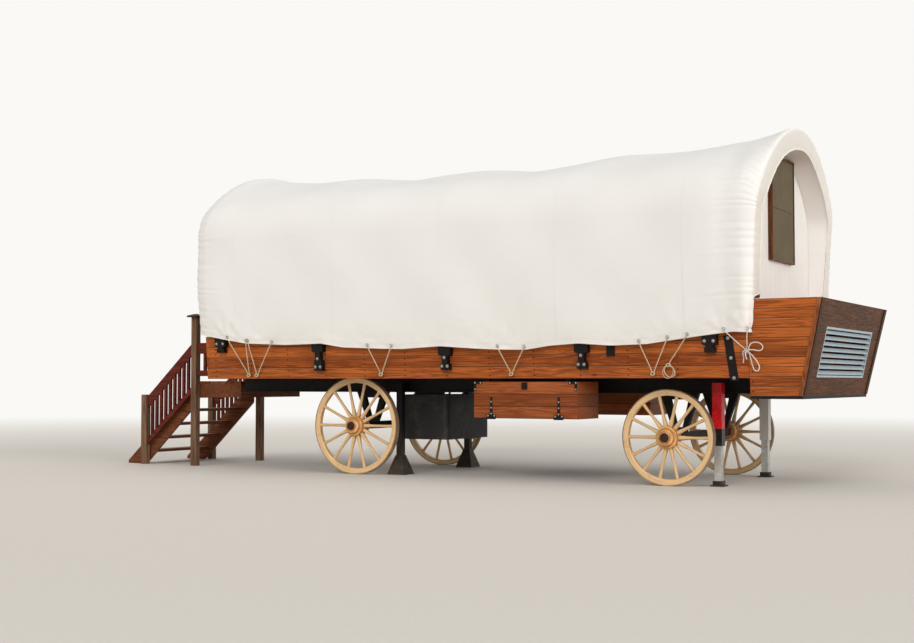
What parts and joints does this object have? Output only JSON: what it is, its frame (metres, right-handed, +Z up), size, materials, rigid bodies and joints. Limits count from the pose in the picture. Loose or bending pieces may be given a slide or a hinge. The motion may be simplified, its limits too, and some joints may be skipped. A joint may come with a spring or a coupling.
{
  "type": "covered wagon",
  "caption": "Covered wagon for sleeping in: canvas bonnet over a plank box on spoked wood wheels, louvred flared front box, rear door with porch and stair, drop-front toolboxes under the floor",
  "frame": {"origin": "on the ground, at the middle of the outline", "axes": "+X forwards, to the flared box and the window; +Y to the left side; +Z up"},
  "size_m": [10.2, 3.3, 4.0668],
  "materials": {
    "wheel_wood": "varnished",
    "iron": "painted",
    "chassis_black": "satin",
    "deck_wood": "planed",
    "board_wood": "stained and varnished",
    "canvas": "matt",
    "bow_wood": "planed",
    "wall_white": "painted",
    "window_brown": "painted",
    "glass": "clear",
    "door_wood": "varnished",
    "hardware": "satin",
    "louvre_grey": "satin",
    "stair_wood": "stained",
    "post_wood": "weathered",
    "leg_red": "gloss",
    "leg_grey": "galvanised",
    "tank_black": "matt"
  },
  "bodies": {
    "wagon": {"chassis_rails": "chassis_black", "cross_members": "chassis_black", "floor_joists": "chassis_black", "floor_deck": "deck_wood", "axle_front": "chassis_black", "axle_rear": "chassis_black", "axle_pedestals": "chassis_black", "underfloor_tank": "tank_black", "leg_sleeves": "leg_red", "leg_tubes": "leg_grey", "leg_feet": "chassis_black", "rear_stands": "chassis_black", "side_board_right": "board_wood", "side_board_left": "board_wood", "end_boards": "board_wood", "side_straps": "chassis_black", "bonnet": "canvas", "bows": "bow_wood", "bow_pockets": "chassis_black", "front_wall": "wall_white", "rear_wall": "wall_white", "window_frame": "window_brown", "window_glass": "glass", "door_frame": "window_brown", "transom_glass": "glass", "front_box_sides": "board_wood", "front_box_front": "board_wood", "front_louvres": "louvre_grey", "front_box_top": "board_wood", "front_box_floor": "chassis_black", "toolbox_right": "board_wood", "toolbox_left": "board_wood", "toolbox_hangers": "chassis_black", "porch_boards": "stair_wood", "porch_joists": "stair_wood", "newel_posts": "post_wood", "newel_caps": "post_wood", "stair_stringers": "stair_wood", "stair_treads": "stair_wood", "stair_rails": "stair_wood"},
    "front_wheel_right": {"wheel_front_right": "wheel_wood", "tyre_front_right": "iron", "hub_bands_front_right": "iron"},
    "front_wheel_left": {"wheel_front_left": "wheel_wood", "tyre_front_left": "iron", "hub_bands_front_left": "iron"},
    "rear_wheel_right": {"wheel_rear_right": "wheel_wood", "tyre_rear_right": "iron", "hub_bands_rear_right": "iron"},
    "rear_wheel_left": {"wheel_rear_left": "wheel_wood", "tyre_rear_left": "iron", "hub_bands_rear_left": "iron"},
    "rear_door": {"door": "door_wood", "door_glass": "glass", "door_hardware": "hardware"},
    "toolbox_flap_right": {"toolbox_front_right": "board_wood", "toolbox_irons_right": "iron"},
    "toolbox_flap_left": {"toolbox_front_left": "board_wood", "toolbox_irons_left": "iron"}
  },
  "joints": [
    {"name": "front_wheel_right_spin", "type": "hinge", "parent": "wagon", "child": "front_wheel_right", "pos_m": [3.265, -1.114, 0.54], "axis": [0, 1, 0], "continuous": true},
    {"name": "front_wheel_left_spin", "type": "hinge", "parent": "wagon", "child": "front_wheel_left", "pos_m": [3.265, 1.114, 0.54], "axis": [0, 1, 0], "continuous": true},
    {"name": "rear_wheel_right_spin", "type": "hinge", "parent": "wagon", "child": "rear_wheel_right", "pos_m": [-0.895, -1.114, 0.61], "axis": [0, 1, 0], "continuous": true},
    {"name": "rear_wheel_left_spin", "type": "hinge", "parent": "wagon", "child": "rear_wheel_left", "pos_m": [-0.895, 1.114, 0.61], "axis": [0, 1, 0], "continuous": true},
    {"name": "rear_door_hinge", "type": "hinge", "parent": "wagon", "child": "rear_door", "pos_m": [-3.047, 0.378, 1.311], "axis": [0, 0, -1], "range_deg": [0, 105]},
    {"name": "toolbox_flap_right_hinge", "type": "hinge", "parent": "wagon", "child": "toolbox_flap_right", "pos_m": [1.63, -1.44, 0.733], "axis": [1, 0, 0], "range_deg": [0, 175]},
    {"name": "toolbox_flap_left_hinge", "type": "hinge", "parent": "wagon", "child": "toolbox_flap_left", "pos_m": [1.63, 1.44, 0.733], "axis": [-1, 0, 0], "range_deg": [0, 175]}
  ]
}
